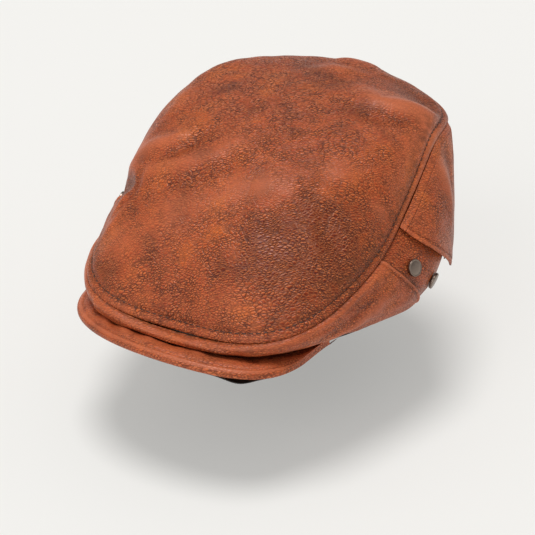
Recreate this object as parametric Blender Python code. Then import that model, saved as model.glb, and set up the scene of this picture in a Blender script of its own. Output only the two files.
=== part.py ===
# A leather flat cap: duckbill crown, front and rear side panels, brim, two hanging
# side flaps with press studs below them, padding, lining and a sweatband.
# Metres, +Z up.  The brim points along -Y and the wearer's left is +X.  The origin
# is the centre of the head opening, on the plane that the cap stands on.
# Angles round the cap are measured from the front centre, positive towards +X.

import math

import bmesh
import bpy
import numpy as np
from mathutils import Matrix, Vector

MM = 0.001

# Guide lines, as one radius and one height at every 30 degrees from front to back.
SEAM_RADII = (116, 123, 100, 86, 93, 118, 117)
SEAM_HEIGHTS = (17.5, 23, 41, 62, 83, 80, 86)
BULGE_RADII = (123, 122, 105, 105, 105, 116, 114)
BULGE_HEIGHTS = (12, 12, 20, 27, 41, 44, 43)
HEM_RADII = (104, 102, 95, 94, 96, 100, 100)
HEM_HEIGHTS = (6.0, 6.0, 4.6, 0.9, 0.8, 0.8, 0.8)
BULGE_AT = 0.45

CROWN_TOP = 105
CROWN_CENTRE_Y = 8
CROWN_SHOULDERS = (11, 15, 18, 18, 16, 12, 15)

# The soft crown isn't quite even: what the wearer's right side adds to those values.
RIGHT_SEAM_RADII = (0, 2, -5, 9, 2, -1, 0)
RIGHT_SEAM_HEIGHTS = (0, 3, 2, 0, 3, 6, 0)
RIGHT_BULGE_RADII = (0, 1, 5, -1, 1, -1, 0)
RIGHT_BULGE_HEIGHTS = (0, 0, -4, -3, -4, -2, 0)
RIGHT_SHOULDERS = (0, 0, 6, 7.5, 8, 3, 0)
SEAM_WAVES = 14

LEATHER = 1.2
SEAM_GAP = 0.5
PANEL_TOP = 0.975
REAR_PANEL_DEPTH = 1.8
FLAP_STANDOFF = 0.2
FLAP_LINING = 0.7
HINGE_RISE = 3.6
INTERLINING_DEPTH = 5.8
INTERLINING = 0.8
PADDING_DEPTH = 1.8
PADDING = 1.2
LINING_DEPTH = 3.6
LINING = 0.5

SWEATBAND_INSET = 6.2
SWEATBAND = 1.2
SWEATBAND_HEIGHT = 30
ELASTIC_ARC = 35

BRIM_HALF_WIDTH = 74
BRIM_RIGHT_HALF_WIDTH = 76.5
BRIM_REACH = 76
BRIM_ROOT_Y = 61.5
BRIM_SQUARENESS = 0.5
BRIM_RIGHT_SQUARENESS = 0.66
BRIM_FRONT_HEIGHT = 10
BRIM_TURN = -4.2
BRIM_SIDE_HEIGHT = 2.2
BRIM_ROOT_HEIGHT = 2.1
BRIM_ROOT_ANGLE = 50
BRIM_BOARD = 1.4
BRIM_LEATHER = 1.0
BRIM_UNDER = 0.6

# Where the press studs sit: angle and height share on the side surface.
STUD_PLACES = {"upper": (80, 0.645), "lower": (92, 0.26), "rear": (134, 0.66)}
STUD_RADIUS = 5
STUD_HEIGHT = 1.7
POST_RADIUS = 2.0
BACKING_RADIUS = 4.2

FLAP_FRONT = 82
FLAP_REAR = 138
FLAP_TIP = 106
FLAP_TIP_HALF = 2.4
FLAP_TOP = 0.94
FLAP_LOW = 0.23

STEPS_AROUND = 60

# A point well inside the head space, which every sheet of the cap faces away from.
INSIDE = Vector((0, 0, 0.03))
SIDES = {"left": 1, "right": -1}

COLOURS = {
    "leather": ((0.37, 0.09, 0.037), 0.42, 0.0),
    "lining": ((0.016, 0.014, 0.013), 0.55, 0.0),
    "felt": ((0.14, 0.13, 0.12), 0.95, 0.0),
    "black_leather": ((0.012, 0.011, 0.010), 0.50, 0.0),
    "elastic": ((0.014, 0.014, 0.015), 0.85, 0.0),
    "board": ((0.07, 0.07, 0.07), 0.50, 0.0),
    "gunmetal": ((0.20, 0.185, 0.17), 0.35, 1.0),
    "black_metal": ((0.012, 0.012, 0.013), 0.35, 1.0),
    "label": ((0.60, 0.58, 0.54), 0.80, 0.0),
}


def clear_scene():
    for thing in list(bpy.data.objects):
        bpy.data.objects.remove(thing, do_unlink=True)


def material(name):
    found = bpy.data.materials.get(name)
    if found:
        return found
    colour, roughness, metallic = COLOURS[name]
    made = bpy.data.materials.new(name)
    made.use_nodes = True
    shader = made.node_tree.nodes["Principled BSDF"]
    shader.inputs["Base Color"].default_value = (*colour, 1)
    shader.inputs["Roughness"].default_value = roughness
    shader.inputs["Metallic"].default_value = metallic
    return made


def add_object(name, mesh_data, finish):
    mesh = bpy.data.meshes.new(name)
    mesh_data.to_mesh(mesh)
    mesh_data.free()
    mesh.materials.append(material(finish))
    mesh.shade_smooth()
    piece = bpy.data.objects.new(name, mesh)
    bpy.context.collection.objects.link(piece)
    return piece


def between(low, high, share):
    return low + (high - low) * share


def at_angle(stations, angle):
    """Smooth value between stations 30 degrees apart, the same on both sides."""
    place = abs((angle + 180) % 360 - 180) / 30
    first = min(int(place), 5)
    share = place - first
    before, start, end, after = (
        stations[6 - abs(6 - abs(first + step))] for step in (-1, 0, 1, 2))
    slope_in = (end - before) / 2
    slope_out = (after - start) / 2
    rise = end - start
    return start + share * (slope_in + share * (
        3 * rise - 2 * slope_in - slope_out + share * (slope_in + slope_out - 2 * rise)))


def ring_point(radius, height, angle):
    turn = math.radians(angle)
    return Vector((radius * math.sin(turn), -radius * math.cos(turn), height)) * MM


def guide(stations, right_changes, angle):
    value = at_angle(stations, angle)
    if angle % 360 > 180:
        value += at_angle(right_changes, angle)
    return value


def seam_point(angle):
    radius = guide(SEAM_RADII, RIGHT_SEAM_RADII, angle)
    return ring_point(radius, guide(SEAM_HEIGHTS, RIGHT_SEAM_HEIGHTS, angle), angle)


def bulge_point(angle):
    radius = guide(BULGE_RADII, RIGHT_BULGE_RADII, angle)
    return ring_point(radius, guide(BULGE_HEIGHTS, RIGHT_BULGE_HEIGHTS, angle), angle)


def hem_point(angle):
    return ring_point(at_angle(HEM_RADII, angle), at_angle(HEM_HEIGHTS, angle), angle)


def side_base(angle, rise):
    """The side of the cap from the hem (rise 0) over the bulge to the top seam (1)."""
    hem = hem_point(angle)
    seam = seam_point(angle)
    control = (bulge_point(angle) - hem * (1 - BULGE_AT) ** 2 - seam * BULGE_AT ** 2)
    control /= 2 * BULGE_AT * (1 - BULGE_AT)
    return hem * (1 - rise) ** 2 + control * (2 * rise * (1 - rise)) + seam * rise ** 2


def seam_waves():
    """The seam as a sum of waves round the cap, each wave with its own order."""
    around = np.array([seam_point(angle) for angle in range(0, 360, 2)])
    return np.fft.rfft(around, axis=0)[:SEAM_WAVES + 1] / len(around)


def crown_base(angle, reach):
    """The crown from its middle (reach 0) to the top seam (1).

    The seam's waves die away towards the middle, so the crown has no crease at its top.
    """
    mean = SEAM[0].real
    point = mean.copy()
    for order in range(1, SEAM_WAVES + 1):
        wave = 2 * (SEAM[order] * np.exp(1j * order * math.radians(angle))).real
        fall = (reach + reach ** 3) / 2 if order == 1 else reach ** order
        point[:2] += wave[:2] * reach ** order
        point[2] += wave[2] * fall
    rest = 1 - reach ** 2
    point[0] -= mean[0] * rest
    point[1] += (CROWN_CENTRE_Y * MM - mean[1]) * rest
    shoulder = guide(CROWN_SHOULDERS, RIGHT_SHOULDERS, angle) * MM
    point[2] += (CROWN_TOP * MM - mean[2]) * rest + shoulder * reach ** 2 * (1 - reach ** 8)
    return Vector(point)


def offset_point(surface, angle, along, depth):
    """A point of a surface, moved out of the cap by depth millimetres."""
    step = 0.01
    around = surface(angle + 1, along) - surface(angle - 1, along)
    upward = surface(angle, along + step) - surface(angle, along - step)
    outward = around.cross(upward)
    if surface is crown_base:
        outward.negate()
    return surface(angle, along) + outward.normalized() * depth * MM


def side_point(angle, rise, depth=0):
    return offset_point(side_base, angle, rise, depth)


def crown_point(angle, reach, depth=0):
    return offset_point(crown_base, angle, reach, depth)


def add_sheet(name, mesh_data, finish, outwards, thickness):
    """An open sheet that faces outwards, given its thickness on the inner side."""
    bmesh.ops.recalc_face_normals(mesh_data, faces=mesh_data.faces)
    mesh_data.faces.ensure_lookup_table()
    if mesh_data.faces[0].normal.dot(outwards) < 0:
        bmesh.ops.reverse_faces(mesh_data, faces=mesh_data.faces)
    piece = add_object(name, mesh_data, finish)
    solid = piece.modifiers.new("thickness", "SOLIDIFY")
    solid.thickness = thickness * MM
    solid.offset = -1
    return piece


def add_patch(name, place, across, along, finish, thickness):
    """A grid laid over the cap: place turns two shares from 0 to 1 into a point."""
    mesh_data = bmesh.new()
    bmesh.ops.create_grid(mesh_data, x_segments=across, y_segments=along, size=0.5)
    for vertex in mesh_data.verts:
        vertex.co = place(vertex.co.x + 0.5, vertex.co.y + 0.5)
    mesh_data.faces.ensure_lookup_table()
    outwards = mesh_data.faces[0].calc_center_median() - INSIDE
    return add_sheet(name, mesh_data, finish, outwards, thickness)


def add_rings(name, rings, finish, thickness, pole=None):
    """Bridge rings of points that go once round the cap; pole closes the last one."""
    mesh_data = bmesh.new()
    loops = []
    for ring in rings:
        made = bmesh.ops.create_circle(mesh_data, cap_ends=False, segments=STEPS_AROUND, radius=1)
        for index, vertex in enumerate(made["verts"]):
            vertex.co = ring(360 * index / STEPS_AROUND)
        loops.append(list({edge for vertex in made["verts"] for edge in vertex.link_edges}))
    for lower, upper in zip(loops, loops[1:]):
        bmesh.ops.bridge_loops(mesh_data, edges=lower + upper)
    if pole is not None:
        middle = mesh_data.verts.new(pole)
        for edge in loops[-1]:
            mesh_data.faces.new((*edge.verts, middle))
    mesh_data.faces.ensure_lookup_table()
    outwards = mesh_data.faces[0].calc_center_median() - INSIDE
    return add_sheet(name, mesh_data, finish, outwards, thickness)


def crown_ring(reach, depth):
    return lambda angle: crown_point(angle, reach, depth)


def make_crown():
    reaches = (1.0, 0.97, 0.92, 0.85, 0.74, 0.6, 0.42, 0.2)
    add_rings("crown_top_panel", [crown_ring(reach, 0) for reach in reaches], "leather",
              LEATHER, crown_base(0, 0))
    padding = [crown_ring(reach, -PADDING_DEPTH) for reach in reaches[2:]]
    add_rings("crown_padding", padding, "felt", PADDING,
              crown_base(0, 0) - Vector((0, 0, PADDING_DEPTH * MM)))
    lining = [crown_ring(reach, -LINING_DEPTH) for reach in reaches[3:]]
    add_rings("crown_lining", lining, "lining", LINING,
              crown_base(0, 0) - Vector((0, 0, LINING_DEPTH * MM)))


def front_panel_end(rise):
    """The rear edge of the front side panel leans back towards the hem."""
    return between(88, 68, rise)


def make_front_panel():
    def place(across, along):
        rise = between(0.02, PANEL_TOP, along)
        end = front_panel_end(rise)
        return side_point(between(-end, end, across), rise)
    add_patch("front_side_panel", place, 30, 7, "leather", 0.9)


def make_rear_panel(side, sign):
    def place(across, along):
        rise = between(0.03, PANEL_TOP - 0.01, along)
        start = front_panel_end(rise) - 4
        return side_point(sign * between(start, 179.6, across), rise, -REAR_PANEL_DEPTH)
    panel = add_patch("rear_side_panel_" + side, place, 22, 8, "leather", LEATHER)
    for place_name, (angle, rise) in STUD_PLACES.items():
        drill(panel, stud_frame(sign * angle, rise), place_name)


def make_interlining():
    def place(across, along):
        return side_point(between(58, 302, across), between(0.12, 0.88, along), -INTERLINING_DEPTH)
    add_patch("side_interlining", place, 40, 5, "felt", INTERLINING)


def lining_wall(inset, share):
    """The side lining: upright behind the sweatband, then leaning to the crown."""
    def ring(angle):
        top = crown_point(angle, 0.93, -LINING_DEPTH - 1.2)
        low = ring_point(at_angle(HEM_RADII, angle) - inset, 5, angle)
        waist = low.copy()
        waist.z = min(34 * MM, 0.6 * top.z)
        if share < 1:
            return low.lerp(waist, share)
        return waist.lerp(top, share - 1)
    return ring


def make_side_lining():
    inset = 4.4
    rings = [lining_wall(inset, share) for share in (0, 1, 1.5, 2)]
    rings.append(crown_ring(0.89, -LINING_DEPTH - 1.2))
    add_rings("side_lining", rings, "lining", LINING)


def make_sweatband():
    """The band in two lengths: a long one of leather, and elastic at the back."""
    arcs = {"sweatband": (ELASTIC_ARC - 179.6, 179.6 - ELASTIC_ARC, 48, "black_leather"),
            "sweatband_elastic": (180 - ELASTIC_ARC, 180 + ELASTIC_ARC, 12, "elastic")}
    for name, (start, end, steps, finish) in arcs.items():
        def place(across, along):
            angle = between(start, end, across)
            rim = at_angle(HEM_RADII, angle) - SWEATBAND_INSET
            return ring_point(rim, SWEATBAND_HEIGHT * along, angle)
        add_patch(name, place, steps, 2, finish, SWEATBAND)


def brim_point(across, out, lift):
    """The brim from its root (out 0) to its edge (1), lifted by millimetres."""
    turn = math.radians(between(-89, 89, across))
    half_width, squareness = BRIM_HALF_WIDTH, BRIM_SQUARENESS
    if turn < 0:
        half_width, squareness = BRIM_RIGHT_HALF_WIDTH, BRIM_RIGHT_SQUARENESS
    reach = BRIM_ROOT_Y + BRIM_REACH * math.cos(turn) ** squareness
    height = between(BRIM_FRONT_HEIGHT, BRIM_SIDE_HEIGHT, math.sin(turn) ** 2)
    edge = Vector((half_width * math.sin(turn), -reach, height)) * MM
    edge.rotate(Matrix.Rotation(math.radians(BRIM_TURN), 3, "Z"))
    angle = BRIM_ROOT_ANGLE * math.degrees(turn) / 90
    root = ring_point(at_angle(HEM_RADII, angle) - 3, BRIM_ROOT_HEIGHT, angle)
    point = root.lerp(edge, out)
    point.z = between(root.z, edge.z, out ** 1.6) + lift * MM
    return point


def add_brim_layer(name, lift, thickness, edge, finish):
    def place(across, along):
        return brim_point(between(1 - edge, edge, across), between(0.02, edge, along), lift)
    mesh_data = bmesh.new()
    bmesh.ops.create_grid(mesh_data, x_segments=26, y_segments=4, size=0.5)
    for vertex in mesh_data.verts:
        vertex.co = place(vertex.co.x + 0.5, vertex.co.y + 0.5)
    return add_sheet(name, mesh_data, finish, Vector((0, 0, 1)), thickness)


def make_brim():
    gap = 0.4
    top_of_board = BRIM_BOARD / 2
    add_brim_layer("brim_board", top_of_board, BRIM_BOARD, 0.975, "board")
    add_brim_layer("brim_top_cover", top_of_board + gap + BRIM_LEATHER, BRIM_LEATHER, 1, "leather")
    add_brim_layer("brim_under_cover", -top_of_board - gap, BRIM_UNDER, 0.99, "lining")


def flap_place(sign, depth, top=FLAP_TOP):
    def place(across, along):
        front = FLAP_FRONT + (FLAP_TIP - FLAP_TIP_HALF - FLAP_FRONT) * along ** 1.36
        rear = FLAP_REAR - (FLAP_REAR - FLAP_TIP - FLAP_TIP_HALF) * along ** 1.15
        rise = between(top, FLAP_LOW, along)
        return side_point(sign * between(front, rear, across), rise, depth)
    return place


def make_flap(side, sign):
    top = FLAP_STANDOFF + LEATHER
    outer = add_patch("side_flap_" + side, flap_place(sign, top), 9, 7, "leather", LEATHER)
    lining_place = flap_place(sign, FLAP_STANDOFF - 0.35, FLAP_TOP - 0.035)
    inner = add_patch("side_flap_lining_" + side, lining_place, 9, 7, "lining", FLAP_LINING)
    start, end = flap_axis(sign)
    pivot = bpy.data.objects.new("side_flap_pivot_" + side, None)
    bpy.context.collection.objects.link(pivot)
    pivot.location = (start + end) / 2
    for piece in (outer, inner):
        piece.parent = pivot
        piece.matrix_parent_inverse = Matrix.Translation(-pivot.location)


def flap_axis(sign):
    """The line that the flap turns on: just above its sewn edge, midway through its bow."""
    place = flap_place(sign, FLAP_STANDOFF)
    start = place(0, 0)
    end = place(1, 0)
    shift = (place(0.5, 0) - (start + end) / 2) / 2
    shift.z += HINGE_RISE * MM
    return start + shift, end + shift


def stud_frame(angle, rise):
    """A stud's place on the rear panel, with its Z axis pointing out of the leather."""
    foot = side_point(angle, rise, -REAR_PANEL_DEPTH)
    outward = side_point(angle, rise, 1 - REAR_PANEL_DEPTH) - foot
    turn = outward.to_track_quat("Z", "Y").to_matrix().to_4x4()
    return Matrix.Translation(foot) @ turn


def drill(panel, frame, name):
    """Cut the hole for a stud's post."""
    mesh_data = bmesh.new()
    bmesh.ops.create_cone(mesh_data, cap_ends=True, segments=12, depth=8 * MM,
                          radius1=(POST_RADIUS + 0.6) * MM, radius2=(POST_RADIUS + 0.6) * MM)
    cutter = add_object("cutter_" + panel.name + "_" + name, mesh_data, "felt")
    cutter.matrix_world = frame
    cutter.hide_render = True
    cutter.display_type = "WIRE"
    cut = panel.modifiers.new("stud_hole_" + name, "BOOLEAN")
    cut.operation = "DIFFERENCE"
    cut.object = cutter


def add_turned(name, profile, frame, finish):
    """Spin a half outline, given as radius and height, once round its own Z axis."""
    mesh_data = bmesh.new()
    corners = [mesh_data.verts.new((radius * MM, 0, height * MM)) for radius, height in profile]
    edges = [mesh_data.edges.new(pair) for pair in zip(corners, corners[1:])]
    bmesh.ops.spin(mesh_data, geom=corners + edges, axis=(0, 0, 1), cent=(0, 0, 0),
                   angle=math.tau, steps=16, use_merge=True)
    bmesh.ops.remove_doubles(mesh_data, verts=mesh_data.verts, dist=0.00001)
    bmesh.ops.recalc_face_normals(mesh_data, faces=mesh_data.faces)
    piece = add_object(name, mesh_data, finish)
    piece.data.set_sharp_from_angle(angle=math.radians(40))
    piece.matrix_world = frame
    return piece


def make_stud(side, sign, name):
    angle, rise = STUD_PLACES[name]
    frame = stud_frame(sign * angle, rise)
    seat = 0.35
    top = seat + STUD_HEIGHT
    head = ((0, top), (STUD_RADIUS - 0.7, top), (STUD_RADIUS, top - 0.6), (STUD_RADIUS, seat + 0.3),
            (STUD_RADIUS - 0.4, seat), (POST_RADIUS, seat), (POST_RADIUS, -2.0), (0, -2.0))
    low = -LEATHER - 0.9
    backing = ((0, low), (BACKING_RADIUS, low), (BACKING_RADIUS, low - 0.5),
               (POST_RADIUS + 0.8, low - 1.1), (0, low - 1.1))
    finish = "black_metal" if name == "rear" else "gunmetal"
    add_turned("stud_cap_" + name + "_" + side, head, frame, finish)
    add_turned("stud_backing_" + name + "_" + side, backing, frame, "black_metal")


def make_label():
    """A blank tab sewn to the inside of the sweatband at the back left."""
    def place(across, along):
        angle = between(128, 138, across)
        radius = at_angle(HEM_RADII, angle) - SWEATBAND_INSET - SWEATBAND - SEAM_GAP
        return ring_point(radius, between(8, 22, along), angle)
    add_patch("size_label", place, 3, 2, "label", 0.4)


clear_scene()
SEAM = seam_waves()
make_crown()
make_front_panel()
make_interlining()
make_side_lining()
make_sweatband()
make_brim()
make_label()
for side, sign in SIDES.items():
    make_rear_panel(side, sign)
    make_flap(side, sign)
    for stud in STUD_PLACES:
        make_stud(side, sign, stud)
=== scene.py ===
import math

import bmesh
import bpy
import numpy as np
from mathutils import Matrix, Vector


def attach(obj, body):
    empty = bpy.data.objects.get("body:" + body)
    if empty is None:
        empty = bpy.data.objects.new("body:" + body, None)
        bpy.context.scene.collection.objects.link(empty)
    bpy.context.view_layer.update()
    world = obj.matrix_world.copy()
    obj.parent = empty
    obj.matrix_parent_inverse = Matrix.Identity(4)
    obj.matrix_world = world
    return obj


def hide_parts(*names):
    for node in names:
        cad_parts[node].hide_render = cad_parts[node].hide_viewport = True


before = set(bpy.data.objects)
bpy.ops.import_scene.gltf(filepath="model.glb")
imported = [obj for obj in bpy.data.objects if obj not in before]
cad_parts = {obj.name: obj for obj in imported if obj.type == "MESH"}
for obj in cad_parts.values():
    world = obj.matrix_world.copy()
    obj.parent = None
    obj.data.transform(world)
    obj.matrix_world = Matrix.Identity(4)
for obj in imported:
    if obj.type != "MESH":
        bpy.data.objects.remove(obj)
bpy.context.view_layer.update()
print("frame loaded")

# Guide lines in millimetres, one value every 30 degrees from the front to the back.
# Angles are measured from the front centre, positive towards the wearer's left (+X).
# Each "right" list is what the wearer's right side adds.
shape = {
    "seamRadius": [116, 123, 100, 86, 93, 118, 117],
    "seamHeight": [17.5, 23, 41, 62, 83, 80, 86],
    "bulgeRadius": [123, 122, 105, 105, 105, 116, 114],
    "bulgeHeight": [12, 12, 20, 27, 41, 44, 43],
    "hemRadius": [104, 102, 95, 94, 96, 100, 100],
    "hemHeight": [6.0, 6.0, 4.6, 0.9, 0.8, 0.8, 0.8],
    "shoulder": [11, 15, 18, 18, 16, 12, 15],
    "rightSeamRadius": [0, 2, -5, 9, 2, -1, 0],
    "rightSeamHeight": [0, 3, 2, 0, 3, 6, 0],
    "rightBulgeRadius": [0, 1, 5, -1, 1, -1, 0],
    "rightBulgeHeight": [0, 0, -4, -3, -4, -2, 0],
    "rightShoulder": [0, 0, 6, 7.5, 8, 3, 0],
    "bulgeAt": 0.45,
    "crownTop": 105,
    "crownCentreY": 8,
    "waves": 14,
}


def atAngle(values, angle):
    place = np.abs((np.asarray(angle, float) + 180) % 360 - 180) / 30
    first = np.minimum(place.astype(int), 5)
    share = place - first
    table = np.array(values, float)
    before, start, end, after = (table[6 - abs(6 - abs(first + step))] for step in (-1, 0, 1, 2))
    slopeIn = (end - before) / 2
    slopeOut = (after - start) / 2
    rise = end - start
    return start + share * (slopeIn + share * (
        3 * rise - 2 * slopeIn - slopeOut + share * (slopeIn + slopeOut - 2 * rise)))


def guide(key, angle):
    onRight = np.asarray(angle, float) % 360 > 180
    rightKey = "right" + key[0].upper() + key[1:]
    return atAngle(shape[key], angle) + onRight * atAngle(shape[rightKey], angle)


def ringPoint(radius, height, angle):
    turn = np.radians(angle)
    return np.stack(np.broadcast_arrays(radius * np.sin(turn), -radius * np.cos(turn), height), -1)


def seamAt(angle):
    return ringPoint(guide("seamRadius", angle), guide("seamHeight", angle), angle)


def bulgePlace(angle):
    return ringPoint(guide("bulgeRadius", angle), guide("bulgeHeight", angle), angle)


def hemAt(angle, inset=0.0, height=None):
    height = atAngle(shape["hemHeight"], angle) if height is None else height
    return ringPoint(atAngle(shape["hemRadius"], angle) - inset, height, angle)


def sideBase(angle, rise):
    rise = np.asarray(rise, float)[..., None]
    at = shape["bulgeAt"]
    hem = hemAt(angle)
    seam = seamAt(angle)
    control = (bulgePlace(angle) - hem * (1 - at) ** 2 - seam * at ** 2) / (2 * at * (1 - at))
    return hem * (1 - rise) ** 2 + control * (2 * rise * (1 - rise)) + seam * rise ** 2


ringAngles = np.arange(0, 360, 2.0)
seamWaves = np.fft.rfft(seamAt(ringAngles), axis=0)[:shape["waves"] + 1] / len(ringAngles)


def crownBase(angle, reach):
    # The seam's waves die away towards the middle, so the crown has no crease at its top.
    angle, reach = np.broadcast_arrays(np.asarray(angle, float), np.asarray(reach, float))
    point = np.zeros(angle.shape + (3,))
    mean = seamWaves[0].real
    for order in range(1, len(seamWaves)):
        turn = np.exp(1j * order * np.radians(angle))[..., None]
        part = 2 * (seamWaves[order] * turn).real
        point[..., :2] += part[..., :2] * (reach ** order)[..., None]
        fall = (reach + reach ** 3) / 2 if order == 1 else reach ** order
        point[..., 2] += part[..., 2] * fall
    centre = np.array([0, shape["crownCentreY"]])
    point[..., 0] += mean[0] * reach ** 2
    point[..., 1] += mean[1] + (centre[1] - mean[1]) * (1 - reach ** 2)
    point[..., 2] += mean[2] + (shape["crownTop"] - mean[2]) * (1 - reach ** 2)
    point[..., 2] += guide("shoulder", angle) * reach ** 2 * (1 - reach ** 8)
    return point


def normalOf(surface, angle, along):
    step = 0.004
    around = surface(angle + 0.5, along) - surface(angle - 0.5, along)
    upward = surface(angle, along + step) - surface(angle, along - step)
    normal = np.cross(around, upward)
    normal /= np.linalg.norm(normal, axis=-1, keepdims=True)
    return -normal if surface is crownBase else normal


def liftedPoint(surface, angle, along, lift=0.0):
    angle, along, lift = np.broadcast_arrays(
        np.asarray(angle, float), np.asarray(along, float), np.asarray(lift, float))
    return surface(angle, along) + normalOf(surface, angle, along) * lift[..., None]


def sidePoint(angle, rise, lift=0.0):
    return liftedPoint(sideBase, angle, rise, lift)


def crownPoint(angle, reach, lift=0.0):
    return liftedPoint(crownBase, angle, reach, lift)


def hump(distance, width):
    return np.exp(-(distance / width) ** 2)


def smoothStep(low, high, value):
    share = np.clip((value - low) / (high - low), 0, 1)
    return share * share * (3 - 2 * share)


def strokeRelief(places, strokes):
    # soft ridges (positive height) and valleys along given lines: points, width, height
    total = np.zeros(places.shape[:-1])
    for points, width, height in strokes:
        line = np.array(points, float)
        lengths = np.linalg.norm(np.diff(line, axis=0), axis=1)
        starts = np.concatenate([[0], np.cumsum(lengths)])
        nearest = np.full(total.shape, 1e9)
        share = np.zeros(total.shape)
        for index, length in enumerate(lengths):
            along = (line[index + 1] - line[index]) / length
            offset = places - line[index]
            reach = np.clip(offset @ along, 0, length)
            gap = np.linalg.norm(offset - reach[..., None] * along, axis=-1)
            closer = gap < nearest
            nearest = np.where(closer, gap, nearest)
            share = np.where(closer, (starts[index] + reach) / starts[-1], share)
        taper = np.sqrt(np.clip(np.sin(np.pi * np.clip(share, 0.02, 0.98)), 0, 1))
        total += height * hump(nearest, width) * taper
    return total


def softNoise(places, size, seed):
    # smooth random relief between about -1 and 1, made of a few turned waves
    random = np.random.default_rng(seed)
    total = np.zeros(places.shape[:-1])
    for _ in range(9):
        heading = random.normal(size=places.shape[-1])
        heading /= np.linalg.norm(heading)
        length = size * random.uniform(0.7, 1.6)
        total += np.sin(places @ heading * (2 * np.pi / length) + random.uniform(0, 6.28))
    return total / 4


def toLinear(hexColour):
    channels = [int(hexColour[index:index + 2], 16) / 255 for index in (1, 3, 5)]
    return [c / 12.92 if c <= 0.04045 else ((c + 0.055) / 1.055) ** 2.4 for c in channels] + [1]


def addNode(tree, kind, inputs=None, **settings):
    node = tree.nodes.new(kind)
    for key, value in settings.items():
        setattr(node, key, value)
    for key, value in (inputs or {}).items():
        if isinstance(value, bpy.types.NodeSocket):
            tree.links.new(value, node.inputs[key])
        else:
            node.inputs[key].default_value = value
    return node


def newMaterial(name, baseColour, roughness, metallic=0.0):
    made = bpy.data.materials.new(name)
    made.use_nodes = True
    shader = made.node_tree.nodes["Principled BSDF"]
    shader.inputs["Base Color"].default_value = toLinear(baseColour)
    shader.inputs["Roughness"].default_value = roughness
    shader.inputs["Metallic"].default_value = metallic
    return made, made.node_tree, shader


# Hide colours. The pale crease colour is a painted highlight on the lit side of each crease and the dark one is
# painted shade in the creases; the rubbed colour is rubbed wear with painted sheen and light; the stain colour
# serves both real stains and painted shadows.
leatherLook = {
    "deep": "#68210b",
    "russet": "#a1401d",
    "tan": "#b44e25",
    "orange": "#c75f24",
    "paintedHighlight": "#ea8a50",
    "paintedCreaseShade": "#481709",
    "rubbedAndLit": "#c9724e",
    "stainAndPaintedShade": "#4c2f1a",
    "pebbleMm": 1.35,
    "patchMm": 26,
    "stretch": 2.1,
    "grainDirection": 31,
    # the painted highlight line is the crease pattern shifted this far towards the light
    "highlightShiftMm": 0.4,
    "bumpMm": 0.34,
}


def mixColour(tree, amount, first, second):
    return addNode(tree, "ShaderNodeMix", {0: amount, 6: first, 7: second}, data_type="RGBA").outputs[2]


def pebbleEdges(tree, place, sizeMm):
    # distance from the creases between the hide's pebbles, in shares of a pebble
    return addNode(tree, "ShaderNodeTexVoronoi", {
        "Vector": place, "Scale": 1000 / sizeMm, "Randomness": 1.0},
        feature="DISTANCE_TO_EDGE").outputs["Distance"]


def rangeOf(tree, value, low, high, toLow=0.0, toHigh=1.0):
    return addNode(tree, "ShaderNodeMapRange", {
        "Value": value, "From Min": low, "From Max": high, "To Min": toLow, "To Max": toHigh}).outputs[0]


def times(tree, first, second):
    return addNode(tree, "ShaderNodeMath", {0: first, 1: second}, operation="MULTIPLY").outputs[0]


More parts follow.
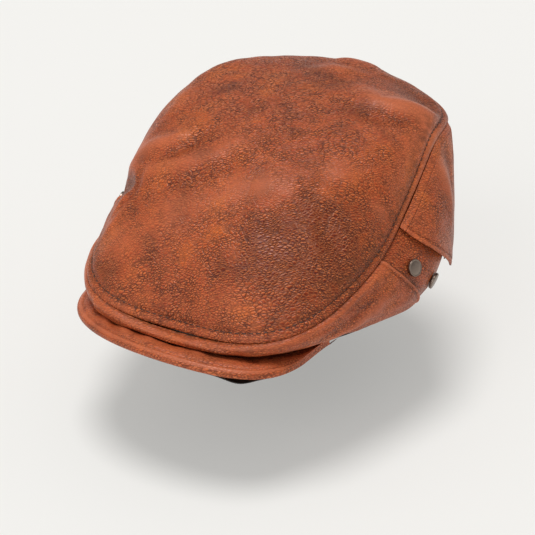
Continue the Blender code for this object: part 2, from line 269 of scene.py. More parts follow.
def makeLeather(name, look):
    # Pull-up cowhide, drum dyed and waxed: mottled, with painted shade in the creases between its pebbles
    # and a painted highlight along their lit side, pale and smooth on rubbed folds, where sheen and light are
    # painted too.
    made, tree, shader = newMaterial(name, look["tan"], 0.42)
    shader.inputs["Specular IOR Level"].default_value = 0.26
    coords = addNode(tree, "ShaderNodeTexCoord").outputs["Object"]
    drift = addNode(tree, "ShaderNodeTexNoise", {"Vector": coords, "Scale": 34, "Detail": 1})
    drifted = addNode(tree, "ShaderNodeVectorMath", {
        0: drift.outputs["Color"], 1: (0.009, 0.009, 0.009), 2: coords}, operation="MULTIPLY_ADD")
    fine = addNode(tree, "ShaderNodeTexNoise", {"Vector": coords, "Scale": 330, "Detail": 2})
    wandering = addNode(tree, "ShaderNodeVectorMath", {
        0: fine.outputs["Color"], 1: (0.0016, 0.0016, 0.0016), 2: drifted.outputs[0]},
        operation="MULTIPLY_ADD")
    stretched = addNode(tree, "ShaderNodeMapping", {
        "Vector": wandering.outputs[0], "Rotation": (0, 0, math.radians(look["grainDirection"])),
        "Scale": (look["stretch"], 1, 1)}, vector_type="TEXTURE").outputs[0]
    highlightSide = addNode(tree, "ShaderNodeVectorMath", {
        0: stretched, 1: [look["highlightShiftMm"] / 1000 * share for share in (0, 1, 0.8)]}, operation="ADD").outputs[0]
    edges = pebbleEdges(tree, stretched, look["pebbleMm"])
    highlightEdges = pebbleEdges(tree, highlightSide, look["pebbleMm"])
    largeEdges = pebbleEdges(tree, stretched, look["pebbleMm"] * 1.9)
    unevenness = addNode(tree, "ShaderNodeTexNoise", {"Vector": coords, "Scale": 120, "Detail": 4}).outputs[0]
    depth = rangeOf(tree, unevenness, 0.36, 0.60, 0.55, 1.0)
    wearAndPaintedLight = addNode(tree, "ShaderNodeAttribute", attribute_name="wearAndPaintedLight").outputs["Fac"]
    grainFade = rangeOf(tree, wearAndPaintedLight, 0.0, 0.9, 1.0, 0.3)
    grainDepth = times(tree, depth, grainFade)
    creaseShade = times(tree, rangeOf(tree, edges, 0.02, 0.21, 1.0, 0.0), grainDepth)
    largeCreaseShade = times(tree, rangeOf(tree, largeEdges, 0.0, 0.10, 0.6, 0.0), grainDepth)
    highlightLines = times(tree, rangeOf(tree, highlightEdges, 0.02, 0.26, 1.0, 0.0), grainDepth)
    patches = addNode(tree, "ShaderNodeTexNoise", {
        "Vector": drifted.outputs[0], "Scale": 1000 / look["patchMm"], "Detail": 3, "Roughness": 0.5,
        "Distortion": 0.2}).outputs[0]
    mottle = addNode(tree, "ShaderNodeValToRGB", {"Fac": patches})
    ramp = mottle.color_ramp
    ramp.elements[0].position = 0.30
    ramp.elements[0].color = toLinear(look["deep"])
    ramp.elements[1].position = 0.70
    ramp.elements[1].color = toLinear(look["orange"])
    for position, colour in ((0.42, "russet"), (0.54, "tan")):
        ramp.elements.new(position).color = toLinear(look[colour])
    # negative values darken towards the deep colour: painted shade in fold valleys, grooves and under overlaps,
    # with darker tone patches; positive values pale towards the rubbed colour: rubbed wear with painted sheen and
    # light
    valley = mixColour(tree, rangeOf(tree, wearAndPaintedLight, 0.0, -1.0, 0.0, 0.9), mottle.outputs["Color"],
                       toLinear(look["deep"]))
    ridge = mixColour(tree, rangeOf(tree, wearAndPaintedLight, 0.0, 1.0, 0.0, 0.62), valley, toLinear(look["rubbedAndLit"]))
    # painted highlight: a pale line along the lit side of each crease
    highlighted = mixColour(tree, times(tree, highlightLines, 0.6), ridge, toLinear(look["paintedHighlight"]))
    # painted shade in the creases between the pebbles, fine and coarse
    creaseShaded = mixColour(tree, times(tree, creaseShade, 0.92), highlighted, toLinear(look["paintedCreaseShade"]))
    largeCreaseShaded = mixColour(tree, largeCreaseShade, creaseShaded, toLinear(look["paintedCreaseShade"]))
    # real stains near the crown's seam, and painted shadows under the crown's lip and beside the lapped panel
    # edge, broken up by noise
    stainAndShadeAmount = addNode(tree, "ShaderNodeAttribute", attribute_name="stainAndPaintedShade").outputs["Fac"]
    blotchNoise = addNode(tree, "ShaderNodeTexNoise", {"Vector": coords, "Scale": 230, "Detail": 4})
    blotches = rangeOf(tree, blotchNoise.outputs[0], 0.38, 0.62)
    stainedAndShaded = mixColour(tree, times(tree, stainAndShadeAmount, blotches), largeCreaseShaded, toLinear(look["stainAndPaintedShade"]))
    tree.links.new(stainedAndShaded, shader.inputs["Base Color"])
    pebble = rangeOf(tree, edges, 0.0, 0.28)
    crumb = rangeOf(tree, largeEdges, 0.0, 0.25)
    height = addNode(tree, "ShaderNodeMix", {0: 0.25, 2: pebble, 3: crumb}).outputs[0]
    tree.links.new(rangeOf(tree, height, 0.0, 1.0, 0.52, 0.28), shader.inputs["Roughness"])
    relief = addNode(tree, "ShaderNodeBump", {
        "Height": height, "Strength": grainDepth, "Distance": look["bumpMm"] / 1000})
    tree.links.new(relief.outputs["Normal"], shader.inputs["Normal"])
    return made


def makeWoven(name, colours, threadMm, roughness, bumpMm=0.12, sheen=0.0):
    # A plain or twill weave: two crossed waves of thread, over and under.
    made, tree, shader = newMaterial(name, colours[0], roughness)
    coords = addNode(tree, "ShaderNodeTexCoord").outputs["Object"]
    bands = []
    for turn in (0.7, 2.3):
        turned = addNode(tree, "ShaderNodeMapping", {"Vector": coords, "Rotation": (turn, turn / 2, turn)})
        bands.append(addNode(tree, "ShaderNodeTexWave", {
            "Vector": turned.outputs[0], "Scale": 1000 / threadMm / 20, "Distortion": 0.8,
            "Detail Scale": 2.0}).outputs["Fac"])
    weave = addNode(tree, "ShaderNodeMath", {0: bands[0], 1: bands[1]}, operation="MULTIPLY").outputs[0]
    tint = mixColour(tree, weave, toLinear(colours[0]), toLinear(colours[1]))
    tree.links.new(tint, shader.inputs["Base Color"])
    relief = addNode(tree, "ShaderNodeBump", {"Height": weave, "Strength": 0.7, "Distance": bumpMm / 1000})
    tree.links.new(relief.outputs["Normal"], shader.inputs["Normal"])
    shader.inputs["Sheen Weight"].default_value = sheen
    return made


def makeGrainy(name, colours, grainMm, roughness, metallic=0.0, bumpMm=0.08, spread=0.08):
    # Fine grain in colour, gloss and relief, for pressed, felted or blasted surfaces.
    made, tree, shader = newMaterial(name, colours[0], roughness, metallic)
    coords = addNode(tree, "ShaderNodeTexCoord").outputs["Object"]
    grain = addNode(tree, "ShaderNodeTexNoise", {
        "Vector": coords, "Scale": 1000 / grainMm, "Detail": 4, "Roughness": 0.6}).outputs[0]
    tint = mixColour(tree, grain, toLinear(colours[0]), toLinear(colours[1]))
    tree.links.new(tint, shader.inputs["Base Color"])
    gloss = addNode(tree, "ShaderNodeMapRange", {
        "Value": grain, "To Min": roughness - spread, "To Max": roughness + spread}).outputs[0]
    tree.links.new(gloss, shader.inputs["Roughness"])
    relief = addNode(tree, "ShaderNodeBump", {"Height": grain, "Strength": 0.5, "Distance": bumpMm / 1000})
    tree.links.new(relief.outputs["Normal"], shader.inputs["Normal"])
    return made


leather = makeLeather("pullUpCowhide", leatherLook)
# Pressed lamb skin, dyed through: near black with a low even shine.
liningSkin = makeGrainy("dyedLambskin", ("#15120f", "#2a241f"), 1.1, 0.46, bumpMm=0.15)
# Polyester twill lining: black, with a faint sheen along its ribs.
liningTwill = makeWoven("polyesterTwill", ("#141312", "#2d2a28"), 0.9, 0.62, sheen=0.3)
# Needled polyester felt: grey, matt and hairy.
felt = makeGrainy("needledFelt", ("#57524d", "#85807a"), 0.8, 0.95, bumpMm=0.4, spread=0.03)
# Knitted elastic: ribbed, matt and black.
elasticKnit = makeWoven("knittedElastic", ("#121213", "#303032"), 1.4, 0.85, bumpMm=0.3)
# Polyethylene board, moulded: black and satin.
board = makeGrainy("mouldedPolyethylene", ("#1b1b1b", "#262626"), 2.0, 0.4)
# Plated brass, tumbled: grey gunmetal with a satin, slightly uneven shine.
gunmetal = makeGrainy("gunmetalPlatedBrass", ("#7a6c62", "#948478"), 1.6, 0.36, 1.0, 0.03, 0.10)
# Chemically blackened steel: oily black with small sharp glints.
blackSteel = makeGrainy("blackenedSteel", ("#0d0d0e", "#1d1d1f"), 0.9, 0.30, 0.6, 0.05)
# Bonded nylon thread: waxed, a little shiny.
darkThread = makeGrainy("bondedNylonThread", ("#33190f", "#5a3220"), 0.4, 0.5)
paleTape = makeWoven("satinTape", ("#c9c2b4", "#e4dfd4"), 0.5, 0.7)
print("materials made")


def makeMesh(name, points, quads, finish, attributes=None):
    mesh = bpy.data.meshes.new(name)
    mesh.from_pydata(points.tolist(), [], quads.tolist())
    mesh.materials.append(finish)
    for key, values in (attributes or {}).items():
        layer = mesh.attributes.new(key, "FLOAT", "POINT")
        layer.data.foreach_set("value", np.asarray(values, np.float32).reshape(-1))
    mesh.shade_smooth()
    piece = bpy.data.objects.new(name, mesh)
    bpy.context.collection.objects.link(piece)
    return piece


def makeSheet(name, points, wrap, finish, thickness, attributes=None, closeEnd=False, facing=None):
    # A grid of points in millimetres turned into a sheet that faces out of the cap.
    rows, columns = points.shape[:2]
    index = np.arange(rows * columns).reshape(rows, columns)
    right = np.roll(index, -1, axis=1) if wrap else index[:, 1:]
    left = index if wrap else index[:, :-1]
    quads = np.stack([left[:-1], right[:-1], right[1:], left[1:]], -1).reshape(-1, 4)
    flat = points.reshape(-1, 3) / 1000
    corners = flat[quads[:, :3]]
    normals = np.cross(corners[:, 1] - corners[:, 0], corners[:, 2] - corners[:, 0])
    outward = corners.mean(1) - np.array([0, 0, 0.02]) if facing is None else np.array(facing)
    if (normals * outward).sum() < 0:
        quads = quads[:, ::-1]
    piece = makeMesh(name, flat, quads, finish, attributes)
    if closeEnd:
        mesh = bmesh.new()
        mesh.from_mesh(piece.data)
        mesh.verts.ensure_lookup_table()
        face = mesh.faces.new([mesh.verts[number] for number in range(columns)])
        face.smooth = True
        face.normal_update()
        if face.normal.z < 0:
            face.normal_flip()
        mesh.to_mesh(piece.data)
        mesh.free()
    if thickness:
        solid = piece.modifiers.new("thickness", "SOLIDIFY")
        solid.thickness = thickness / 1000
        solid.offset = -1
    return piece


def finishPiece(piece, body="root", replaced=()):
    if replaced:
        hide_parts(*replaced)
    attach(piece, body)


# Crown leather.  Fold lines are plan points (x, y) in millimetres, with width and height.
crownSettings = {
    "columns": 540,
    "innerRings": 78,
    "edgeRings": 30,
    "edgeBandMm": 15,
    "rollMm": 1.15,
    "lipMm": 3.0,
    "lipHeightMm": 0.65,
    "stitchLineMm": 4.4,
    "grooveDepthMm": 0.7,
    "stitchPitchMm": 4.1,
    "stitchMm": 2.6,
    "threadMm": 0.42,
    "folds": [
        ([(-86, -20), (-72, -35), (-54, -35), (-39, -24)], 7, 3.0),
        ([(-58, -47), (-44, -40), (-28, -23)], 6, -2.2),
        ([(-62, -52), (-37, -51), (-19, -43), (-4, -23)], 8, 2.2),
        ([(-45, -66), (-24, -57), (-1, -39)], 7, -1.6),
        ([(-69, -12), (-67, 3), (-69, 19)], 6, 1.6),
        ([(-79, -36), (-65, -53), (-62, -64), (-69, -78)], 3.4, 2.6),
        ([(-57, -53), (-56, -63), (-58, -74), (-68, -86)], 3.4, 1.8),
        ([(-84, -46), (-71, -53), (-60, -62), (-58, -72)], 4.5, -4.4),
        ([(30, 98), (48, 84), (60, 78), (76, 70)], 12, -3.4),
        ([(-14, 98), (2, 101), (16, 102)], 9, 2.2),
        ([(28, 54), (46, 42), (60, 50), (76, 74)], 9, 3.6),
        ([(29, 30), (47, 28), (60, 34), (76, 46)], 8, -2.4),
        ([(-14, 58), (-2, 74), (11, 76)], 8, 1.8),
        ([(7, 39), (12, 52), (13, 68)], 7, -1.8),
        ([(14, -56), (36, -47), (49, -36), (66, -13)], 11, 2.4),
        ([(48, -41), (64, -40), (73, -39), (82, -33)], 2.6, 1.1),
        ([(65, -47), (77, -41), (86, -36)], 2.4, 1.0),
        ([(56, -56), (64, -48), (71, -43), (82, -38)], 5, -2.2),
        ([(48, -63), (58, -67), (70, -67)], 6, 1.8),
        ([(58, -60), (66, -58), (76, -56)], 5, -1.6),
        ([(26, -70), (45, -70), (56, -74)], 9, -1.8),
        ([(80, -12), (74, -24), (70, -36)], 4, -1.4),
        ([(-31, -80), (-9, -71), (14, -66)], 9, 1.3),
        ([(-50, -96), (-32, -88), (-12, -83)], 8, 1.0),
    ],
}


# where the hide is paler and rubbed (positive) or darker and deeper grained (negative): partly its own uneven
# tone, partly painted light and shade
crownToneAndPaintedLight = [
    ([(62, -84), (66, -60), (76, -42)], 19, -1.6),
    ([(38, -48), (54, -42)], 12, -0.9),
    ([(56, -90), (26, -76)], 15, -1.2),
    ([(70, 60), (80, 44), (86, 24)], 8, 0.8),
    ([(74, -28), (84, -20)], 6, 0.9),
    ([(54, 12), (62, 34), (70, 56)], 14, 0.55),
    ([(76, 30), (82, 8), (80, -16)], 7, 0.6),
    ([(-22, -60), (-34, -82)], 12, 0.4),
    ([(-8, -57), (12, -55), (30, -50)], 10, 0.6),
    ([(-40, -102), (-66, -84)], 10, 0.4),
    ([(20, -106), (50, -100)], 7, 0.35),
    ([(-20, 40), (10, 46)], 16, -0.3),
]


def crownRelief(plan, fromEdge):
    s = crownSettings
    away = smoothStep(2, 12, fromEdge)
    folds = strokeRelief(plan, s["folds"]) * away
    soft = 0.55 * softNoise(plan, 52, 3) + 0.22 * softNoise(plan, 17, 8)
    lip = np.sqrt(np.clip(1 - ((fromEdge - s["lipMm"] / 2) / (s["lipMm"] * 0.62)) ** 2, 0, 1))
    groove = hump(fromEdge - s["stitchLineMm"], 0.8)
    # the hide swells behind the stitching
    swell = 0.5 * hump(fromEdge - 8.5, 3.2)
    relief = folds + soft * away + s["lipHeightMm"] * lip - s["grooveDepthMm"] * groove + swell
    # fold ridges and the lip are painted paler and fold valleys and the stitch groove darker: rubbed wear with
    # painted light and shade, plus the listed tones
    wearAndPaintedLight = np.clip(folds / 3.0, -1, 1) + 0.35 * lip - 0.5 * groove + strokeRelief(plan, crownToneAndPaintedLight)
    return relief, np.clip(wearAndPaintedLight, -1, 1)


def crownStain(fromEdge, angle):
    band = hump(fromEdge - 8, 6.5)
    places = 0.15 + 0.4 * hump(angle - 100, 36) + 0.4 * hump(angle + 45, 22) + 0.3 * hump(angle - 60, 14)
    return np.clip(band * places, 0, 1)


def makeCrown():
    s = crownSettings
    angles = np.arange(s["columns"]) * 360 / s["columns"]
    signed = (angles + 180) % 360 - 180
    edgeShare = s["edgeBandMm"] / 105
    reaches = np.concatenate([
        np.linspace(0.012, 1 - edgeShare, s["innerRings"], endpoint=False),
        np.linspace(1 - edgeShare, 1, s["edgeRings"])])
    grid = crownBase(signed[None, :], reaches[:, None])
    normals = normalOf(crownBase, *np.broadcast_arrays(signed[None, :], reaches[:, None]))
    steps = np.linalg.norm(np.diff(grid, axis=0), axis=-1)
    fromEdge = np.concatenate([np.cumsum(steps[::-1], axis=0)[::-1], np.zeros((1, len(angles)))])
    relief, wearAndPaintedLight = crownRelief(grid[..., :2], fromEdge)
    surface = grid + normals * relief[..., None]
    stainAndPaintedShade = crownStain(fromEdge, np.broadcast_to(signed, fromEdge.shape))
    # the turned edge: half a turn round the rim, then a strip folded back underneath
    rim = surface[-1]
    rimNormal = normals[-1]
    outward = grid[-1] - grid[-2]
    outward /= np.linalg.norm(outward, axis=-1, keepdims=True)
    radius = s["rollMm"]
    extra = []
    for turn in np.radians([25, 50, 75, 100, 125, 150, 180]):
        extra.append(rim + outward * radius * math.sin(turn) - rimNormal * radius * (1 - math.cos(turn)))
    extra.append(rim - outward * 4 - rimNormal * 2 * radius)
    points = np.concatenate([surface, np.array(extra)])
    shade = np.concatenate([wearAndPaintedLight, np.full((8, len(angles)), 0.1)])
    stainAndPaintedShade = np.concatenate([stainAndPaintedShade, np.full((8, len(angles)), 0.2)])
    piece = makeSheet("crownLeather", points, True, leather, 0, {"stainAndPaintedShade": stainAndPaintedShade, "wearAndPaintedLight": shade}, True)
    finishPiece(piece, replaced=["crown_top_panel"])
    return surface, normals, fromEdge


crownSurface, crownNormals, crownFromEdge = makeCrown()
print("crown made")


def capsule(length, radius, sides=6):
    # one stitch: a rounded stub of thread along X, a few dozen faces
    rings = [(-0.5, 0.35), (-0.38, 0.85), (0, 1.0), (0.38, 0.85), (0.5, 0.35)]
    points = []
    for share, width in rings:
        for number in range(sides):
            turn = 2 * math.pi * number / sides
            points.append((share * length, width * radius * math.cos(turn), width * radius * math.sin(turn)))
    quads = []
    for ring in range(len(rings) - 1):
        for number in range(sides):
            after = (number + 1) % sides
            quads.append((ring * sides + number, (ring + 1) * sides + number,
                          (ring + 1) * sides + after, ring * sides + after))
    ends = [tuple(range(sides)), tuple((len(rings) - 1) * sides + n for n in range(sides))[::-1]]
    return np.array(points), quads, ends


def makeStitches(name, line, normals, pitch, length, radius, finish, closed, body="root"):
    # stitches laid along a line of points in millimetres
    route = np.concatenate([line, line[:1]]) if closed else line
    upright = np.concatenate([normals, normals[:1]]) if closed else normals
    lengths = np.linalg.norm(np.diff(route, axis=0), axis=1)
    marks = np.concatenate([[0], np.cumsum(lengths)])
    count = max(2, round(marks[-1] / pitch))
    points, faces = [], []
    stub, quads, ends = capsule(length, radius)
    for number in range(count):
        place = (number + 0.5) * marks[-1] / count
        spot = np.array([np.interp(place, marks, route[:, axis]) for axis in range(3)])
        ahead = np.array([np.interp(place + 0.5, marks, route[:, axis]) for axis in range(3)])
        up = np.array([np.interp(place, marks, upright[:, axis]) for axis in range(3)])
        along = ahead - spot
        along /= np.linalg.norm(along) + 1e-9
        across = np.cross(up, along)
        across /= np.linalg.norm(across) + 1e-9
        up = np.cross(along, across)
        base = len(points)
        for x, y, z in stub:
            points.append((spot + along * x + across * y + up * z) / 1000)
        faces += [tuple(base + corner for corner in face) for face in list(quads) + ends]
    mesh = bpy.data.meshes.new(name)
    mesh.from_pydata([tuple(point) for point in points], [], faces)
    mesh.materials.append(finish)
    piece = bpy.data.objects.new(name, mesh)
    bpy.context.collection.objects.link(piece)
    shell = bmesh.new()
    shell.from_mesh(mesh)
    bmesh.ops.recalc_face_normals(shell, faces=shell.faces)
    shell.to_mesh(mesh)
    shell.free()
    mesh.shade_smooth()
    finishPiece(piece, body)
    return piece


def crownLine(distance, sink):
    # the ring of crown points at one distance from the seam
    s = crownSettings
    line, upright = [], []
    for column in range(s["columns"]):
        depth = crownFromEdge[:, column][::-1]
        share = np.interp(distance, depth, np.arange(len(depth)))
        low = int(share)
        row = len(depth) - 1 - low
        blend = share - low
        point = crownSurface[row, column] * (1 - blend) + crownSurface[max(row - 1, 0), column] * blend
        line.append(point - crownNormals[row, column] * sink)
        upright.append(crownNormals[row, column])
    return np.array(line), np.array(upright)


stitchLine, stitchUp = crownLine(crownSettings["stitchLineMm"], 0.05)
makeStitches("crownStitches", stitchLine, stitchUp, crownSettings["stitchPitchMm"],
             crownSettings["stitchMm"], crownSettings["threadMm"], darkThread, True)
print("crown stitched")


# Side panels.  The front one carries the rear one's lapped edges.
sideSettings = {
    "frontEnd": (88, 68),
    "top": 0.985,
    "gapMm": 0.6,
    "frontLeather": 0.9,
    "rearLift": -1.8,
    "rearLeather": 1.2,
    "seamTapeTop": 0.995,
    "lapMm": 5,
}


def panelEnd(rise):
    low, high = sideSettings["frontEnd"]
    return low + (high - low) * rise


def frontPanelRelief(angle, rise):
    places = np.stack([np.radians(angle) * 110, rise * 40], -1)
    wrinkles = 0.35 * softNoise(places * np.array([1, 1.8]), 14, 5)
    waves = 0.5 * softNoise(places, 44, 12)
    # a short lapped join left of the middle, and drag lines from the side seams
    lap = 0.7 * smoothStep(-26.5, -25.5, angle) * (1 - smoothStep(-25.4, -12, angle))
    strokes = strokeRelief(places, [
        ([(60, 6), (95, 14), (128, 20)], 4, 1.3), ([(70, 16), (100, 24), (125, 30)], 4, -1.0),
        ([(-60, 8), (-90, 14), (-125, 22)], 4, 1.2), ([(-70, 18), (-95, 24), (-120, 30)], 4, -0.9),
        ([(25, 10), (70, 13), (110, 12)], 3.5, -0.9), ([(-20, 12), (-60, 12)], 3, 0.6)])
    fade = smoothStep(0, 0.12, rise) * (1 - smoothStep(0.88, 1.0, rise))
    relief = (wrinkles + waves + strokes) * fade + lap
    # drag-line ridges painted paler and their valleys darker, and the whole strip painted 0.3 paler: painted
    # light and shade
    return relief, np.clip(strokes * fade / 1.6 + 0.3, -1, 1)


def makeFrontPanel():
    shares = np.linspace(0, 1, 64)[:, None]
    across = np.linspace(-1, 1, 420)[None, :]
    # the top edge stops a hair short of the crown's lip all along
    angle = across * panelEnd(shares)
    tall = np.linalg.norm(sidePoint(angle, 1.0) - sidePoint(angle, 0.0), axis=-1)
    top = 1 - sideSettings["gapMm"] / tall
    rise = 0.02 + (top - 0.02) * shares
    fromTop = (top - rise) * tall
    relief, wearAndPaintedLight = frontPanelRelief(angle, rise)
    # turned edges: a soft roll at both ends, and a hem that curls under
    fromEnd = (1 - np.abs(across)) * panelEnd(shares) * 1.75
    relief = relief - 0.35 * hump(fromEnd - 3.0, 0.7) - 0.9 * hump(fromEnd, 0.5) + 0.4 * hump(fromEnd - 1.4, 0.8)
    relief = relief - 1.0 * hump(rise - 0.02, 0.02) - 0.9 * hump(fromTop, 1.2) + 0.5 * hump(fromTop - 3.5, 1.8)
    # its lower corners are drawn in towards the rear panels
    relief = relief - 0.9 * (1 - smoothStep(0, 9, fromEnd)) * (1 - smoothStep(0.02, 0.22, rise))
    points = sidePoint(angle, rise, relief)
    # the groove near each end is painted darker and the rolled end and the band below the top paler: painted
    # shade and painted highlights
    wearAndPaintedLight = wearAndPaintedLight - 0.6 * hump(fromEnd - 3.0, 0.8) + 0.7 * hump(fromEnd - 1.4, 0.9) + 0.4 * hump(fromTop - 3.2, 1.6)
    # the strip just under the crown's lip is painted dark: painted shade in the crease under the lip
    piece = makeSheet("frontPanelLeather", points, False, leather, sideSettings["frontLeather"],
                      {"wearAndPaintedLight": np.clip(wearAndPaintedLight, -1, 1), "stainAndPaintedShade": 0.9 * hump(fromTop, 0.8)})
    finishPiece(piece, replaced=["front_side_panel"])


def makeRearPanel(side, sign):
    rises = np.linspace(0.02, sideSettings["top"], 56)[:, None]
    start = panelEnd(rises) - sideSettings["lapMm"]
    across = np.linspace(0, 1, 260)[None, :]
    angle = start + (179.9 - start) * across
    rise = np.broadcast_to(rises, angle.shape)
    places = np.stack([np.radians(angle) * 100, rise * 80], -1)
    relief = 0.5 * softNoise(places, 40, 21 + sign) + 0.2 * softNoise(places, 13, 31 + sign)
    relief = relief * smoothStep(0.0, 0.1, rise) * (1 - smoothStep(0.9, 1.0, rise))
    relief = relief - 0.9 * hump(angle - 180, 0.9) + 0.35 * hump(angle - 177.6, 1.4)
    fromLap = (angle - panelEnd(rises)) * 1.75
    for studAngle, studRise in studSettings["places"].values():
        reach = np.hypot((angle - studAngle) * 1.7, (rise - studRise) * 75)
        relief = relief * (1 - hump(reach, 9)) - 0.3 * hump(reach, 7)
    # ridges painted paler and hollows darker, following the relief: painted light and shade
    wearAndPaintedLight = 0.5 * relief
    points = sidePoint(sign * angle, rise, sideSettings["rearLift"] + relief)
    # a dark band painted just behind the front panel's lapped edge: painted shadow of that edge
    stainAndPaintedShade = 0.95 * smoothStep(-1.5, 0, fromLap) * (1 - smoothStep(0.2, 1.6, fromLap))
    piece = makeSheet("rearPanelLeather_" + side, points, False, leather, sideSettings["rearLeather"],
                      {"wearAndPaintedLight": np.clip(wearAndPaintedLight, -0.5, 0.5), "stainAndPaintedShade": stainAndPaintedShade})
    finishPiece(piece, replaced=["rear_side_panel_" + side])


def makeShadowSeamTape():
    # the seam allowance tucked under the crown's turned edge, in the dark thread colour: a dark sheet for the
    # painted shade in the gap under the lip
    angles = np.arange(360) * 1.0
    rows = [(0.955, -3.4), (0.985, -2.6), (1.0, -2.4), (1.01, -2.8)]
    points = np.stack([sidePoint(angles, rise, lift) for rise, lift in rows])
    piece = makeSheet("shadowSeamTape", points, True, darkThread, 0.5)
    finishPiece(piece)


# Press studs: a domed cap with a rolled rim on a short post; the lower plate is inside the cap.
studSettings = {
    "places": {"upper": (80, 0.645), "lower": (92, 0.26), "rear": (134, 0.66)},
    "radius": 5, "height": 1.7, "seat": 0.35, "post": 2.0, "backing": 4.2,
}


def selectFaces(piece, chosen):
    bpy.ops.object.mode_set(mode="OBJECT")
    for face in piece.data.polygons:
        face.select = bool(chosen(face))
    for edge in piece.data.edges:
        edge.select = False
    for vertex in piece.data.vertices:
        vertex.select = False
    for face in piece.data.polygons:
        if face.select:
            for number in face.vertices:
                piece.data.vertices[number].select = True
    bpy.ops.object.mode_set(mode="EDIT")
    bpy.ops.mesh.select_mode(type="FACE")


def modelStudCap():
    s = studSettings
    bpy.ops.object.select_all(action="DESELECT")
    thickness = s["height"] / 1000
    bpy.ops.mesh.primitive_cylinder_add(
        vertices=48, radius=s["radius"] / 1000, depth=thickness,
        location=(0, 0, s["seat"] / 1000 + thickness / 2))
    cap = bpy.context.object
    cap.name = "studCapPattern"
    bpy.ops.object.transform_apply(location=True, rotation=True, scale=True)
    selectFaces(cap, lambda face: face.normal.z > 0.9)
    bpy.ops.mesh.inset(thickness=0.0005, depth=0)
    bpy.ops.mesh.inset(thickness=0.0003, depth=-0.0002)
    bpy.ops.mesh.inset(thickness=0.0005, depth=0.00018)
    bpy.ops.mesh.inset(thickness=0.0016, depth=0.00014)
    selectFaces(cap, lambda face: face.normal.z < -0.9)
    bpy.ops.mesh.inset(thickness=(s["radius"] - s["post"]) / 1000, depth=0)
    bpy.ops.mesh.extrude_region_move(TRANSFORM_OT_translate={"value": (0, 0, -0.0022)})
    bpy.ops.object.mode_set(mode="OBJECT")
    soft = cap.modifiers.new("rolledRim", "BEVEL")
    soft.width = 0.00035
    soft.segments = 3
    soft.limit_method = "ANGLE"
    soft.angle_limit = math.radians(40)
    bpy.ops.object.modifier_apply(modifier="rolledRim")
    bpy.ops.object.shade_smooth_by_angle(angle=math.radians(35))
    return cap


def modelStudBacking():
    s = studSettings
    bpy.ops.object.select_all(action="DESELECT")
    low = -(sideSettings["rearLeather"] + 0.9) / 1000
    bpy.ops.mesh.primitive_cylinder_add(
        vertices=32, radius=s["backing"] / 1000, depth=0.0005, location=(0, 0, low - 0.00025))
    plate = bpy.context.object
    plate.name = "studBackingPattern"
    bpy.ops.object.transform_apply(location=True, rotation=True, scale=True)
    selectFaces(plate, lambda face: face.normal.z < -0.9)
    bpy.ops.mesh.inset(thickness=0.0015, depth=0)
    bpy.ops.mesh.extrude_region_move(TRANSFORM_OT_translate={"value": (0, 0, -0.0006)})
    bpy.ops.mesh.inset(thickness=0.0008, depth=0)
    bpy.ops.mesh.extrude_region_move(TRANSFORM_OT_translate={"value": (0, 0, 0.0003)})
    bpy.ops.object.mode_set(mode="OBJECT")
    soft = plate.modifiers.new("pressedEdge", "BEVEL")
    soft.width = 0.0002
    soft.segments = 2
    soft.limit_method = "ANGLE"
    bpy.ops.object.modifier_apply(modifier="pressedEdge")
    bpy.ops.object.shade_smooth_by_angle(angle=math.radians(35))
    return plate


def studFrame(angle, rise):
    foot = sidePoint(angle, rise, sideSettings["rearLift"]) / 1000
    outward = Vector(normalOf(sideBase, np.asarray(angle, float), np.asarray(rise, float)))
    return Matrix.Translation(Vector(foot)) @ outward.to_track_quat("Z", "Y").to_matrix().to_4x4()


def makeStuds():
    patterns = {"cap": modelStudCap(), "backing": modelStudBacking()}
    for side, sign in (("left", 1), ("right", -1)):
        for name, (angle, rise) in studSettings["places"].items():
            for part, pattern in patterns.items():
                piece = bpy.data.objects.new("stud" + part.capitalize() + name.capitalize() + "_" + side,
                                             pattern.data.copy())
                bpy.context.collection.objects.link(piece)
                piece.data.transform(studFrame(sign * angle, rise))
                visible = part == "cap" and name != "rear"
                piece.data.materials.append(gunmetal if visible else blackSteel)
                finishPiece(piece,
                            replaced=["stud_" + part + "_" + name + "_" + side])
    for pattern in patterns.values():
        bpy.data.objects.remove(pattern, do_unlink=True)


makeFrontPanel()
for side, sign in (("left", 1), ("right", -1)):
    makeRearPanel(side, sign)
makeShadowSeamTape()
makeStuds()
print("sides and studs made")


# Hanging side flaps, each on its own hinge body.
flapSettings = {
    "front": 82, "rear": 138, "tip": 106, "tipHalf": 2.4, "top": 0.985, "low": 0.23, "foldAt": 0.075,
    "lift": 1.4, "leatherMm": 1.2, "grooveMm": 3.4,
}


def flapPlace(across, along):
    s = flapSettings
    front = s["front"] + (s["tip"] - s["tipHalf"] - s["front"]) * along ** 1.36
    rear = s["rear"] - (s["rear"] - s["tip"] - s["tipHalf"]) * along ** 1.15
    rise = s["top"] + (s["low"] - s["top"]) * along
    return front + (rear - front) * across, rise


